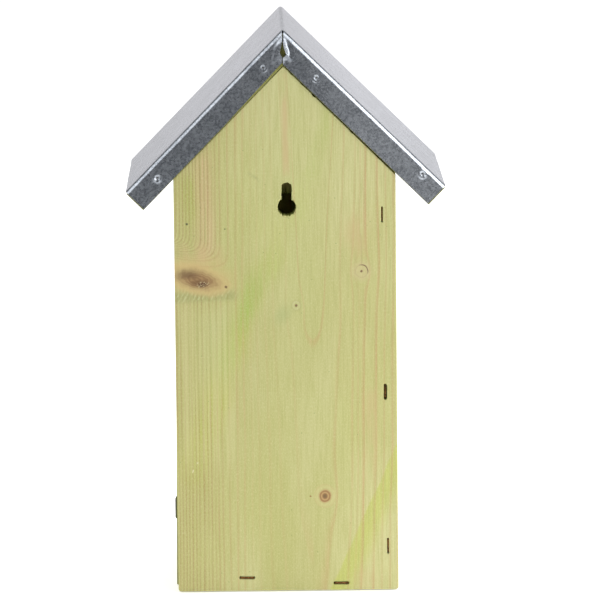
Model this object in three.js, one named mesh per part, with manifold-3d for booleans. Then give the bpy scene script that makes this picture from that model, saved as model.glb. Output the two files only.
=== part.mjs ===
// A wall-hung nest box: five pine boards stapled together, one side hung on two pins as a cleaning door, and a
// gabled roof of two boards under one folded sheet of galvanised steel.
// Millimetres, +Z up. The entrance faces -Y and the back, with its keyhole, faces +Y. The origin is under the
// middle of the roof, on the surface that the box stands on.
import * as THREE from 'three';
import { mergeVertices } from 'three/addons/utils/BufferGeometryUtils.js';
import Module from 'manifold-3d';

// Driving dimensions.
const BODY_WIDTH = 120;            // across the front and back panels
const BODY_DEPTH = 124;            // front face to back face
const EAVE_HEIGHT = 227;           // of the front and back panels at their sides
const BOARD = 12;                  // wall and floor thickness
const ROOF_BOARD = 12.6;           // roof board thickness
const EAVE_OVERHANG = 17;          // of the roof's underside past the side walls
const FRONT_OVERHANG = 30;         // of the roof boards past the front panel
const GAP = 0.3;                   // between pieces that touch

const SHEET = 0.5;                 // steel thickness
const SHEET_SHORT = 0.5;           // how far the sheet stops short of the boards at the eaves
const FLANGE = 12.8;               // depth of the folded gable flanges, square to the slope
const FOLD_RADIUS = 1;             // outside radius of the flange folds
const RIDGE_RADIUS = 2.4;          // outside radius of the ridge bend
const RIDGE_FLAT = 1.4;            // planed off the boards' ridge, so that the bent sheet sits down on it
const SLIT = 0.7;                  // between the two flanges of a gable, at the ridge
const TEAR_START = 7.7;            // from the ridge down to where the slit opens into a torn diamond
const TEAR_END = 15;               // and down to where it closes again
const TEAR_DOOR_SIDE = 1.6;        // how far the diamond reaches to either side of the slit's middle
const TEAR_FIXED_SIDE = 2.2;

const ENTRANCE_DIAMETER = 32;
const ENTRANCE_ABOVE_FLOOR = 156;  // centre of the hole above the floor board's top

const KEYHOLE_DIAMETER = 10;       // lets the screw's head in
const KEYHOLE_SLOT = 5.6;          // slot for the screw's shank
const KEYHOLE_RISE = 10.6;         // from the round hole's centre to the slot's top centre
const KEYHOLE_BELOW_EAVE = 16.4;   // round hole's centre
const KEYHOLE_ASIDE = 1.1;         // drilled by hand, this far off the middle towards the fixed side

const DOOR_INSET = 0.8;            // shut door's face inside the panels' side edges
const DOOR_AJAR = 0.5;             // degrees that the unlatched door hangs open
const DOOR_SIDE_GAP = 0.7;         // between the door and the front and back panels
const DOOR_SHORT = 3;              // of the eave height at the top, which also airs the box
const DOOR_BOTTOM_GAP = 1.2;
const DOOR_FLOOR_GAP = 0.5;        // between the shut door and the floor's edge
const OPEN_DOOR_CLEARANCE = 2.9;   // between the eave and the door when it stands straight out
const DRAIN_CORNER = 10;           // cut off each corner of the floor

const STAPLE_CROWN = 8;
const STAPLE_WIRE = 1.2;           // wire width, across the crown
const STAPLE_THICK = 0.9;          // wire thickness, along the legs
const STAPLE_LEG = 25;
const STAPLE_SUNK = 0.4;           // crown below the wood's surface
const SIDE_STAPLE_FROM_EAVE = 21;
const SIDE_STAPLE_FROM_BASE = 24;
const SIDE_STAPLE_BELOW_MIDDLE = 6;
const FLOOR_STAPLES_APART = 51.4;
const FLOOR_STAPLES_ASIDE = 3.2;   // their middle, towards the fixed side
const ROOF_STAPLE_FROM_RIDGE = 42; // along the slope
const ROOF_STAPLE_FROM_EAVE = 22;  // along the slope, from above the side wall's face

const PIN_DIAMETER = 1.6;
const PIN_HEAD = 2.2;
const PIN_HEAD_THICK = 0.6;
const PIN_LENGTH = 30;
const BRAD_DIAMETER = 1.2;
const BRAD_HEAD = 2;
const BRAD_HEAD_THICK = 0.4;
const BRAD_LENGTH = 16;
const BRAD_FROM_RIDGE = 24;        // along the slope, from the boards' ridge line
const BRAD_FROM_EAVE = 18;         // along the slope, from the eave

const HOOK_WIRE = 1.8;
const HOOK_SHANK = 16;             // length in the wood
const HOOK_ARM = 13;               // from the shank's axis to the arm's tip
const HOOK_BEND = 2;               // bend radius of the wire's centre line
const HOOK_HEIGHT = 32;            // above the base

// Worked out from them.
const ROOT2 = Math.SQRT2;          // the ridge is square, so both slopes stand at 45 degrees
const HALF = BODY_WIDTH / 2;
const GABLE_TOP = EAVE_HEIGHT + HALF;
const UNDERSIDE_TOP = GABLE_TOP + GAP * ROOT2;
const BOARD_TOP = UNDERSIDE_TOP + ROOF_BOARD * ROOT2;
const SHEET_INSIDE_TOP = BOARD_TOP + GAP * ROOT2;
const SHEET_TOP = SHEET_INSIDE_TOP + SHEET * ROOT2;
const EAVE_X = HALF + EAVE_OVERHANG;
const EAVE_TIP_Z = UNDERSIDE_TOP - EAVE_X;
const SLANT = EAVE_X * ROOT2 + ROOF_BOARD;      // of a roof board's top, from the boards' ridge line
const ROOF_BOARD_LENGTH = BODY_DEPTH + FRONT_OVERHANG;
const ROOF_HALF = ROOF_BOARD_LENGTH / 2;        // the boards are centred on Y = 0
const SHEET_HALF = ROOF_HALF + GAP + SHEET;
const BACK_FACE = ROOF_HALF;
const FRONT_FACE = BACK_FACE - BODY_DEPTH;
const BACK_INSIDE = BACK_FACE - BOARD;
const FRONT_INSIDE = FRONT_FACE + BOARD;
const INSIDE_MIDDLE = (BACK_INSIDE + FRONT_INSIDE) / 2;
const INSIDE_DEPTH = BACK_INSIDE - FRONT_INSIDE;
const DOOR_AXIS_X = HALF - DOOR_INSET - BOARD / 2;
const DOOR_AXIS_Z = EAVE_TIP_Z - BOARD / 2 - OPEN_DOOR_CLEARANCE;
const ENTRANCE_Z = BOARD + ENTRANCE_ABOVE_FLOOR;
const KEYHOLE_Z = EAVE_HEIGHT - KEYHOLE_BELOW_EAVE;
const AJAR_SLOPE = Math.tan(THREE.MathUtils.degToRad(DOOR_AJAR));
const DOOR_PROUD = (DOOR_AXIS_Z - HOOK_HEIGHT) * AJAR_SLOPE - DOOR_INSET;   // past the panel's edge, at the hook
const HOOK_STANDOFF = DOOR_PROUD + 1.5 * GAP + HOOK_WIRE / 2;   // arm's centre line from that edge

const pine = { color: 0xc9c78c, roughness: 0.72, metalness: 0 };
const sawnPine = { color: 0xb9b878, roughness: 0.85, metalness: 0 };
const galvanised = { color: 0x9ea2a8, roughness: 0.35, metalness: 1 };
const coatedWire = { color: 0x8a6234, roughness: 0.45, metalness: 1 };
const brightWire = { color: 0x8d8f92, roughness: 0.35, metalness: 1 };

const wasm = await Module();
wasm.setup();

const birdhouse = new THREE.Group();
const box = new THREE.Group();
const roof = new THREE.Group();
const door = new THREE.Group();
const latch = new THREE.Group();
birdhouse.add(box, roof, door, latch);
roof.position.z = BOARD_TOP;                       // the roof's frame lies on the boards' ridge line
door.position.set(DOOR_AXIS_X, INSIDE_MIDDLE, DOOR_AXIS_Z);
door.rotation.y = -THREE.MathUtils.degToRad(DOOR_AJAR);
latch.position.set(HALF, FRONT_FACE + BOARD / 2, HOOK_HEIGHT);

// --- helpers ---------------------------------------------------------------------------------------------

function addPiece(group, name, geometry, finish) {
  const mesh = new THREE.Mesh(geometry, new THREE.MeshStandardMaterial(finish));
  mesh.name = name;
  group.add(mesh);
  return mesh;
}

// A geometry as a manifold-3d solid.
function solid(geometry) {
  const bare = geometry.index ? geometry.toNonIndexed() : geometry.clone();
  for (const name of Object.keys(bare.attributes)) {
    if (name !== 'position') bare.deleteAttribute(name);
  }
  const merged = mergeVertices(bare, 1e-4);
  return new wasm.Manifold(new wasm.Mesh({
    numProp: 3,
    vertProperties: new Float32Array(merged.attributes.position.array),
    triVerts: new Uint32Array(merged.index.array),
  }));
}

function geometryOf(manifold) {
  const mesh = manifold.getMesh();
  const points = new Float32Array(mesh.numVert * 3);
  for (let i = 0; i < mesh.numVert; i++) {
    points.set(mesh.vertProperties.subarray(i * mesh.numProp, i * mesh.numProp + 3), i * 3);
  }
  const geometry = new THREE.BufferGeometry();
  geometry.setAttribute('position', new THREE.BufferAttribute(points, 3));
  geometry.setIndex(new THREE.BufferAttribute(new Uint32Array(mesh.triVerts), 1));
  return geometry;
}

// Cuts geometries, each given in the piece's own frame, out of a piece.
function cut(piece, ...cutters) {
  let kept = solid(piece.geometry);
  for (const cutter of cutters) kept = kept.subtract(solid(cutter));
  piece.geometry = geometryOf(kept);
}

// Cuts room for a placed piece out of others: room is its own shape with clearance, in its own frame.
function seat(placed, room, ...pieces) {
  birdhouse.updateMatrixWorld(true);
  for (const piece of pieces) {
    const toPiece = piece.matrixWorld.clone().invert().multiply(placed.matrixWorld);
    cut(piece, room.clone().applyMatrix4(toPiece));
  }
}

function outline(points) {
  return new THREE.Shape(points.map(([x, z]) => new THREE.Vector2(x, z)));
}

// An outline in X and Z, run along Y between two places.
function prism(shape, fromY, toY, options = {}) {
  const geometry = new THREE.ExtrudeGeometry(shape, {
    depth: toY - fromY, bevelEnabled: false, curveSegments: 16, ...options,
  });
  return geometry.rotateX(Math.PI / 2).translate(0, toY, 0);
}

function rod(diameter, length, sides = 12) {
  return new THREE.CylinderGeometry(diameter / 2, diameter / 2, length, sides);
}

// --- boards ----------------------------------------------------------------------------------------------

function gableOutline() {
  return outline([[-HALF, 0], [HALF, 0], [HALF, EAVE_HEIGHT], [0, GABLE_TOP], [-HALF, EAVE_HEIGHT]]);
}

function keyhole() {
  const round = KEYHOLE_DIAMETER / 2;
  const slot = KEYHOLE_SLOT / 2;
  const meet = Math.acos(slot / round);            // where the slot's sides leave the round hole
  const path = new THREE.Path();
  path.absarc(-KEYHOLE_ASIDE, KEYHOLE_Z, round, meet, Math.PI - meet, true);
  path.absarc(-KEYHOLE_ASIDE, KEYHOLE_Z + KEYHOLE_RISE, slot, Math.PI, 0, true);
  path.closePath();
  return path;
}

function makeBackPanel() {
  const shape = gableOutline();
  shape.holes.push(keyhole());
  return addPiece(box, 'back_panel', prism(shape, BACK_INSIDE, BACK_FACE), pine);
}

function makeFrontPanel() {
  const shape = gableOutline();
  const entrance = new THREE.Path();
  entrance.absarc(0, ENTRANCE_Z, ENTRANCE_DIAMETER / 2, 0, Math.PI * 2, true);
  shape.holes.push(entrance);
  return addPiece(box, 'front_panel', prism(shape, FRONT_FACE, FRONT_INSIDE), pine);
}

// Both sides are sawn off square, which leaves an air gap under the slope of the roof.
function makeFixedSide() {
  const geometry = new THREE.BoxGeometry(BOARD, INSIDE_DEPTH - 2 * GAP, EAVE_HEIGHT);
  const side = addPiece(box, 'fixed_side', geometry, pine);
  side.position.set(BOARD / 2 - HALF, INSIDE_MIDDLE, EAVE_HEIGHT / 2);
  return side;
}

// The door's own frame lies on its pivot axis.
function makeDoor() {
  const top = EAVE_HEIGHT - DOOR_SHORT - DOOR_AXIS_Z;
  const bottom = DOOR_BOTTOM_GAP - DOOR_AXIS_Z;
  const geometry = new THREE.BoxGeometry(BOARD, INSIDE_DEPTH - 2 * DOOR_SIDE_GAP, top - bottom);
  return addPiece(door, 'side_door', geometry.translate(0, 0, (top + bottom) / 2), pine);
}

function makeFloor() {
  const left = -HALF + BOARD + GAP;
  const right = HALF - BOARD - DOOR_INSET - DOOR_FLOOR_GAP;
  const near = FRONT_INSIDE + GAP;
  const far = BACK_INSIDE - GAP;
  const c = DRAIN_CORNER;
  const shape = outline([
    [left + c, near], [right - c, near], [right, near + c], [right, far - c],
    [right - c, far], [left + c, far], [left, far - c], [left, near + c],
  ]);
  const geometry = new THREE.ExtrudeGeometry(shape, { depth: BOARD, bevelEnabled: false });
  return addPiece(box, 'floor_board', geometry, pine);
}

// --- roof ------------------------------------------------------------------------------------------------

// A point of the roof's frame: along a slope from the ridge line, and out of it. side is 1 on the door's side.
function onSlope(side, along, out) {
  return [side * (along + out) / ROOT2, (out - along) / ROOT2];
}

// One board laps over the upper edge of the other, which butts against it.
function makeRoofBoard(name, side, laps) {
  const start = laps ? 0 : ROOF_BOARD + GAP;
  const ridge = laps ? [[RIDGE_FLAT, 0], [0, -RIDGE_FLAT]] : [[start, 0]];
  const corners = [[start, -ROOF_BOARD], [SLANT, -ROOF_BOARD], [SLANT, 0], ...ridge];
  const shape = outline(corners.map(([along, out]) => onSlope(side, along, out)));
  return addPiece(roof, name, prism(shape, -ROOF_HALF, ROOF_HALF), sawnPine);
}

// Everything under a square ridge whose top lies at the given height in the roof's frame, with the long edges of
// its two ends rounded. The rounding adds its own radius all round, so the outline is drawn smaller by that much.
function underRidge(top, ridgeRadius, halfLength, foldRadius) {
  const deep = 2 * SLANT;
  const apex = top - foldRadius * ROOT2;
  const radius = ridgeRadius - foldRadius;
  const reach = radius / ROOT2;                    // from the ridge to where the bend meets the slope
  const shape = new THREE.Shape();
  shape.moveTo(-deep, apex - deep);
  shape.lineTo(-reach, apex - reach);
  shape.absarc(0, apex - radius * ROOT2, radius, Math.PI * 3 / 4, Math.PI / 4, true);
  shape.lineTo(deep, apex - deep);
  return prism(shape, -halfLength + foldRadius, halfLength - foldRadius, {
    bevelEnabled: true, bevelThickness: foldRadius, bevelSize: foldRadius, bevelSegments: 5, curveSegments: 6,
  });
}

// The slit between the flanges at the ridge, with its torn diamond, for one gable end.
function flangeNotch(fromY, toY) {
  const top = SHEET_TOP - BOARD_TOP;
  const bottom = top - 2 * FLANGE;
  const start = top - TEAR_START;
  const end = top - TEAR_END;
  const middle = (start + end) / 2;
  const half = SLIT / 2;
  const shape = outline([
    [half, top], [-half, top], [-half, start], [-TEAR_FIXED_SIDE, middle], [-half, end], [-half, bottom],
    [half, bottom], [half, end], [TEAR_DOOR_SIDE, middle], [half, start],
  ]);
  return prism(shape, fromY, toY);
}

function makeRoofSheet() {
  const top = SHEET_TOP - BOARD_TOP;
  const insideTop = SHEET_INSIDE_TOP - BOARD_TOP;
  const outside = underRidge(top, RIDGE_RADIUS, SHEET_HALF, FOLD_RADIUS);
  const inside = underRidge(insideTop, RIDGE_RADIUS - SHEET, SHEET_HALF - SHEET, FOLD_RADIUS - SHEET);
  const flangeLine = top - FLANGE * ROOT2;
  const far = 3 * SLANT;
  const belowFlanges = prism(outline([[-far, flangeLine - far], [far, flangeLine - far], [0, flangeLine]]),
    -far, far);
  const sheet = addPiece(roof, 'roof_sheet', outside, galvanised);
  cut(sheet, inside, belowFlanges);
  for (const side of [-1, 1]) {
    const start = SLANT - SHEET_SHORT;
    const block = [[start, -far], [start + far, -far], [start + far, far], [start, far]];
    cut(sheet, prism(outline(block.map(([along, out]) => onSlope(side, along, out))), -far, far));
  }
  const slitDepth = SHEET + GAP;
  cut(sheet, flangeNotch(SHEET_HALF - slitDepth, far), flangeNotch(-far, -SHEET_HALF + slitDepth));
  return sheet;
}

// --- fasteners -------------------------------------------------------------------------------------------

// A staple's legs run along its own -Y and its crown along X, with the crown's top at Y = 0.
function stapleGeometry(clearance = 0, above = 0) {
  const half = STAPLE_CROWN / 2 + clearance;
  const inner = STAPLE_CROWN / 2 - STAPLE_WIRE - clearance;
  const under = STAPLE_THICK + clearance;
  const tip = STAPLE_LEG + clearance;
  const shape = outline([
    [-half, above], [-half, -tip], [-inner, -tip], [-inner, -under],
    [inner, -under], [inner, -tip], [half, -tip], [half, above],
  ]);
  const width = STAPLE_WIRE + 2 * clearance;
  const geometry = new THREE.ExtrudeGeometry(shape, { depth: width, bevelEnabled: false });
  return geometry.translate(0, 0, -width / 2);
}

const STAPLE_ROOM = stapleGeometry(GAP, STAPLE_SUNK + 1);

// A staple turned by Euler angles and sunk into wood at a place on its surface.
function driveStaple(group, name, place, turn, pieces) {
  const holder = new THREE.Group();
  holder.position.set(...place);
  holder.rotation.set(...turn);
  group.add(holder);
  const staple = addPiece(holder, name, stapleGeometry(), coatedWire);
  staple.position.y = -STAPLE_SUNK;
  seat(staple, STAPLE_ROOM, ...pieces);
}

// A headed pin along its own -Y, with the underside of its head at Y = 0.
function pinGeometry(diameter, head, headThick, length, clearance = 0) {
  const shankReach = length + clearance;
  const shank = rod(diameter + 2 * clearance, shankReach + headThick / 2);
  shank.translate(0, (headThick / 2 - shankReach) / 2, 0);
  const cap = rod(head + 2 * clearance, headThick + 2 * clearance);
  cap.translate(0, headThick / 2, 0);
  return geometryOf(solid(shank).add(solid(cap)));
}

// Each brad is driven through a flange into a roof board's end. The small numbers are the scatter of hand work:
// how far each one lies from its place, down the slope and towards the flange's lower edge.
function addBrads(sheet, boards) {
  const scatter = {
    back_door_side: { ridge: [-3, 0], eave: [0, 0.2] },
    back_fixed_side: { ridge: [6, -0.5], eave: [4, -2.8] },
    front_door_side: { ridge: [2, 0.4], eave: [-3, -0.6] },
    front_fixed_side: { ridge: [-1, 0.6], eave: [2, -1.2] },
  };
  const shape = [BRAD_DIAMETER, BRAD_HEAD, BRAD_HEAD_THICK, BRAD_LENGTH];
  const room = pinGeometry(...shape, GAP);
  const middle = FLANGE / 2 - SHEET - GAP;         // below the boards' top
  const along = { ridge: BRAD_FROM_RIDGE, eave: SLANT - BRAD_FROM_EAVE };
  for (const [place, spots] of Object.entries(scatter)) {
    const facing = place.startsWith('back') ? 1 : -1;
    const side = place.endsWith('door_side') ? 'door_side' : 'fixed_side';
    for (const [spot, [down, lower]] of Object.entries(spots)) {
      const [x, z] = onSlope(side === 'door_side' ? 1 : -1, along[spot] + down, -middle - lower);
      const brad = addPiece(roof, `brad_${place}_${spot}`, pinGeometry(...shape), brightWire);
      brad.position.set(x, facing * (SHEET_HALF + GAP), z);
      if (facing < 0) brad.rotation.x = Math.PI;
      seat(brad, room, sheet, boards[side]);
    }
  }
}

// Pins through the panels and into the door's edges, on the pivot axis, with their heads flush.
function addPivotPins(backPanel, frontPanel, doorBoard) {
  const shape = [PIN_DIAMETER, PIN_HEAD, PIN_HEAD_THICK, PIN_LENGTH];
  const room = pinGeometry(...shape, GAP);
  const ends = [['back', BACK_FACE, 1, backPanel], ['front', FRONT_FACE, -1, frontPanel]];
  for (const [end, face, facing, panel] of ends) {
    const pin = addPiece(box, `pivot_pin_${end}`, pinGeometry(...shape), brightWire);
    pin.position.set(DOOR_AXIS_X, face - facing * PIN_HEAD_THICK, DOOR_AXIS_Z);
    if (facing < 0) pin.rotation.x = Math.PI;
    seat(pin, room, panel, doorBoard);
  }
}

// The panels' staples, into the edges of the fixed side and the floor. Each one stands at its board's middle,
// but for the scatter of hand work, given last for the back and the front.
function addPanelStaples(backPanel, frontPanel, fixedSide, floorBoard) {
  const sideX = BOARD / 2 - HALF;
  const middleZ = (EAVE_HEIGHT - SIDE_STAPLE_FROM_EAVE + SIDE_STAPLE_FROM_BASE) / 2;
  const sideStaples = [
    ['top', EAVE_HEIGHT - SIDE_STAPLE_FROM_EAVE, 1.5, -0.6],
    ['middle', middleZ - SIDE_STAPLE_BELOW_MIDDLE, 0.4, 0.8],
    ['bottom', SIDE_STAPLE_FROM_BASE, -0.5, 0.3],
  ];
  const floorStaples = [
    ['door_side', FLOOR_STAPLES_APART / 2 - FLOOR_STAPLES_ASIDE, 1.2, -0.4],
    ['fixed_side', -FLOOR_STAPLES_APART / 2 - FLOOR_STAPLES_ASIDE, -2.2, 0.5],
  ];
  const faces = [['back', BACK_FACE, 0, backPanel], ['front', FRONT_FACE, Math.PI, frontPanel]];
  faces.forEach(([end, y, turn, panel], face) => {
    for (const [label, z, ...scatter] of sideStaples) {
      driveStaple(box, `staple_${end}_side_${label}`, [sideX + scatter[face], y, z], [turn, Math.PI / 2, 0],
        [panel, fixedSide]);
    }
    for (const [label, x, ...scatter] of floorStaples) {
      driveStaple(box, `staple_${end}_floor_${label}`, [x, y, BOARD / 2 + scatter[face]], [turn, 0, 0],
        [panel, floorBoard]);
    }
  });
}

// Staples through each roof board into the gable edges, and through the lapping board into the butting one.
function addRoofStaples(boards, backPanel, frontPanel) {
  const along = {
    upper: ROOF_STAPLE_FROM_RIDGE, lower: SLANT - EAVE_OVERHANG * ROOT2 - ROOF_STAPLE_FROM_EAVE,
  };
  const rows = [['back', BACK_FACE - BOARD / 2, backPanel], ['front', FRONT_FACE + BOARD / 2, frontPanel]];
  for (const [side, sign] of [['door_side', 1], ['fixed_side', -1]]) {
    for (const [end, y, panel] of rows) {
      for (const [spot, distance] of Object.entries(along)) {
        const [x, z] = onSlope(sign, distance, 0);
        driveStaple(roof, `staple_roof_${side}_${end}_${spot}`, [x, y, z], slopeTurn(sign, false),
          [boards[side], panel]);
      }
    }
  }
  const [x, z] = onSlope(1, ROOF_BOARD / 2, 0);
  for (const [end, y] of [['back', ROOF_HALF / 2], ['front', -ROOF_HALF / 2]]) {
    driveStaple(roof, `staple_ridge_${end}`, [x, y, z], slopeTurn(1, true),
      [boards.door_side, boards.fixed_side]);
  }
}

// Euler angles that point a staple's +Y out of a slope, with its crown down the slope or along the ridge.
function slopeTurn(sign, alongRidge) {
  const out = new THREE.Vector3(sign, 0, 1).normalize();
  const ridge = new THREE.Vector3(0, 1, 0);
  const down = new THREE.Vector3().crossVectors(out, ridge);
  const crown = alongRidge ? ridge : down;
  const third = new THREE.Vector3().crossVectors(crown, out);
  const turned = new THREE.Euler().setFromRotationMatrix(new THREE.Matrix4().makeBasis(crown, out, third));
  return [turned.x, turned.y, turned.z];
}

// --- latch -----------------------------------------------------------------------------------------------

// The hook's shank runs along X into the front panel's edge, and its arm hangs down clear of the door.
function makeHook(frontPanel) {
  const bend = new THREE.QuadraticBezierCurve3(
    new THREE.Vector3(HOOK_STANDOFF - HOOK_BEND, 0, 0),
    new THREE.Vector3(HOOK_STANDOFF, 0, 0),
    new THREE.Vector3(HOOK_STANDOFF, 0, -HOOK_BEND),
  );
  const path = new THREE.CurvePath();
  path.add(new THREE.LineCurve3(new THREE.Vector3(-HOOK_SHANK, 0, 0), bend.v0));
  path.add(bend);
  path.add(new THREE.LineCurve3(bend.v2, new THREE.Vector3(HOOK_STANDOFF, 0, -HOOK_ARM)));
  const section = new THREE.Shape().absarc(0, 0, HOOK_WIRE / 2, 0, Math.PI * 2);
  const wire = new THREE.ExtrudeGeometry(section, { steps: 40, extrudePath: path, curveSegments: 5 });
  const hook = addPiece(latch, 'latch_hook', wire, brightWire);
  const room = rod(HOOK_WIRE + 2 * GAP, HOOK_SHANK + GAP + 1).rotateZ(Math.PI / 2);
  seat(latch, room.translate((1 - HOOK_SHANK - GAP) / 2, 0, 0), frontPanel);
  return hook;
}

// --- assembly --------------------------------------------------------------------------------------------

const backPanel = makeBackPanel();
const frontPanel = makeFrontPanel();
const fixedSide = makeFixedSide();
const floorBoard = makeFloor();
const doorBoard = makeDoor();
const roofBoards = {
  door_side: makeRoofBoard('roof_board_door_side', 1, true),
  fixed_side: makeRoofBoard('roof_board_fixed_side', -1, false),
};
const roofSheet = makeRoofSheet();
addPanelStaples(backPanel, frontPanel, fixedSide, floorBoard);
addRoofStaples(roofBoards, backPanel, frontPanel);
addBrads(roofSheet, roofBoards);
addPivotPins(backPanel, frontPanel, doorBoard);
makeHook(frontPanel);

export default birdhouse;
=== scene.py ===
"""A small nest box of green pine boards under one folded sheet of galvanised steel."""
import math

import bmesh
import bpy
from mathutils import Matrix, Vector, noise


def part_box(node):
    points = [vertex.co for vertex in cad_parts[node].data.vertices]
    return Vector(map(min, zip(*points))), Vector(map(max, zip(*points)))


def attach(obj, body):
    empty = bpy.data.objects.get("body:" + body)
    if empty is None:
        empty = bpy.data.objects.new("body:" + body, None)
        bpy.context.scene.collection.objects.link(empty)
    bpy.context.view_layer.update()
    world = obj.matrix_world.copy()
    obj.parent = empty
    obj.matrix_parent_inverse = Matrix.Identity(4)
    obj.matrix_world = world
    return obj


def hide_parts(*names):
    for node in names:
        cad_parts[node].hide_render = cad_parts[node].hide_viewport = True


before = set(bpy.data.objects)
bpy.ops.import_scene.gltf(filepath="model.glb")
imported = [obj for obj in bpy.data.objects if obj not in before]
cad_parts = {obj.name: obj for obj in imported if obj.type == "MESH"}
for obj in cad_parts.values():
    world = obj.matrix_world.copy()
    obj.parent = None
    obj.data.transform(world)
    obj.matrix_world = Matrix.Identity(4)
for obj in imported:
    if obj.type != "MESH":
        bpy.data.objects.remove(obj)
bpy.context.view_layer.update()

MM = 0.001

# ---- sizes, in metres

LOW = 0
HIGH = 1
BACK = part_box("back_panel")
HALF_BODY = BACK[HIGH].x
GABLE_TOP = BACK[HIGH].z
SHOULDER = GABLE_TOP - HALF_BODY           # the gable stands at 45 degrees
PANEL_THICKNESS = BACK[HIGH].y - BACK[LOW].y
PANEL_EASE = 0.5 * MM
BOARD_EASE = 0.6 * MM
BOX_MIDDLE = 0.15
LEAN = 0.00925                             # the roof was nailed on about half a degree out of true

KEYHOLE_SIDE = -1.1 * MM
KEYHOLE_HEIGHT = SHOULDER - 16.4 * MM
KEYHOLE_RADIUS = 5 * MM
KEYHOLE_SLOT = 5.6 * MM
KEYHOLE_RISE = 10.6 * MM
ENTRANCE_RADIUS = 16 * MM
ENTRANCE_HEIGHT = 168 * MM

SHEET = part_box("roof_sheet")
SHEET_THICKNESS = 0.5 * MM
RIDGE_RADIUS = 1.9 * MM
FLANGE = 12.8 * MM
SHEET_SHARP_TOP = SHEET[HIGH].z + 1 * MM
SHEET_SLOPE = SHEET[HIGH].x * math.sqrt(2) + 0.4 * MM
# The fold along each gable, from flange to slope: how far it turns, in degrees, over what length of sheet.
FOLD_TURNS = ((36, 0.9 * MM), (10, 1.0 * MM), (44, 2.5 * MM))
LIFT_BACK = 0.45 * MM                      # the sheet doesn't lie close on its boards
LIFT_FRONT = 1.1 * MM
SLIT = 0.25 * MM
TEAR_START = 7.7 * MM
TEAR_END = 15 * MM
TEAR_DOOR_SIDE = 1.6 * MM
TEAR_FIXED_SIDE = 2.2 * MM

DOOR_SIDE = 1                              # +X
FIXED_SIDE = -1                            # -X
ENDS = (("back", 1), ("front", -1))        # +Y and -Y
BRAD_PLACES = ("door_side_ridge", "door_side_eave", "fixed_side_ridge", "fixed_side_eave")


# ---- making and keeping pieces


def middle(node):
    """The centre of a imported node."""
    lowest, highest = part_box(node)
    return (lowest + highest) / 2


def stands(node):
    """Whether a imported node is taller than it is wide."""
    lowest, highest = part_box(node)
    return highest.z - lowest.z > highest.x - lowest.x


def lean(point):
    """Turns a point of the roof about the gable's top by the amount the roof is out of true."""
    return Vector((point.x + LEAN * (point.z - GABLE_TOP), point.y, point.z - LEAN * point.x))


def show(name, data):
    """Puts a mesh, curve, light or camera into the scene as an object at the origin."""
    piece = bpy.data.objects.new(name, data)
    bpy.context.scene.collection.objects.link(piece)
    return piece


def settle(piece):
    """Turns a piece with modifiers, or a curve, into a plain mesh object of the same name."""
    bpy.context.view_layer.update()
    seen = piece.evaluated_get(bpy.context.evaluated_depsgraph_get())
    mesh = bpy.data.meshes.new_from_object(seen)
    name = piece.name
    bpy.data.objects.remove(piece)
    mesh.name = name
    return show(name, mesh)


def clean(mesh, gap=1e-6):
    """Merges the points that coincide and turns every face outwards."""
    shape = bmesh.new()
    shape.from_mesh(mesh)
    bmesh.ops.remove_doubles(shape, verts=shape.verts, dist=gap)
    bmesh.ops.recalc_face_normals(shape, faces=shape.faces)
    shape.to_mesh(mesh)
    shape.free()


def skin(shape, rows, closed=False):
    """Joins rows of points with faces, and the rows' ends too if they are rings."""
    for one, two in zip(rows, rows[1:]):
        for step in range(len(one) if closed else len(one) - 1):
            after = (step + 1) % len(one)
            shape.faces.new((one[step], one[after], two[after], two[step]))


def shown_shape(shape, name):
    """Turns a finished shape into an object."""
    bmesh.ops.recalc_face_normals(shape, faces=shape.faces)
    mesh = bpy.data.meshes.new(name)
    shape.to_mesh(mesh)
    shape.free()
    return show(name, mesh)


def thickened(piece, thickness, degrees):
    """Gives a single skin its thickness, below the face that is seen, and shades it."""
    wall = piece.modifiers.new("thickness", "SOLIDIFY")
    wall.thickness = thickness
    wall.offset = -1
    piece = settle(piece)
    soft_shading(piece.data, degrees)
    return piece


def soft_shading(mesh, degrees=35):
    """Smooth shading with sharp edges kept where faces meet at more than an angle."""
    mesh.shade_smooth()
    mesh.set_sharp_from_angle(angle=math.radians(degrees))


def fit(piece, body, slot, material, *nodes):
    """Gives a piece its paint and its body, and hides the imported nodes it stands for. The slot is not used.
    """
    piece.data.materials.clear()
    piece.data.materials.append(material)
    for face in piece.data.polygons:
        face.material_index = 0
    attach(piece, body)
    if nodes:
        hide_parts(*nodes)
    return piece


# ---- boards


STRAIGHT_OUT = 0.999                       # how far a flat face's normal points along Y, at least
EDGE_STEPS = 90


def board_from_outlines(name, outlines, thickness, ease, middle_y):
    """A board standing in XZ: the first outline is its edge and the others are cut through it."""
    curve = bpy.data.curves.new(name, "CURVE")
    curve.dimensions = "2D"
    curve.fill_mode = "BOTH"
    curve.extrude = thickness / 2 - ease
    curve.bevel_depth = ease
    curve.bevel_resolution = 2
    curve.offset = -ease
    for outline in outlines:
        spline = curve.splines.new("POLY")
        spline.points.add(len(outline) - 1)
        for point, (x, z) in zip(spline.points, outline):
            point.co = (x, z, 0, 1)
        spline.use_cyclic_u = True
    board = settle(show(name, curve))
    board.data.transform(Matrix.Translation((0, middle_y, 0)) @ Matrix.Rotation(math.pi / 2, 4, "X"))
    clean(board.data)
    soft_shading(board.data)
    for face in board.data.polygons:
        if abs(face.normal.y) > STRAIGHT_OUT:
            face.use_smooth = False
    return board


def arc(x, z, radius, start, end, steps):
    """Points along an arc, with its angles in degrees."""
    points = []
    for step in range(steps + 1):
        angle = math.radians(start + (end - start) * step / steps)
        points.append((x + radius * math.cos(angle), z + radius * math.sin(angle)))
    return points


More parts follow.
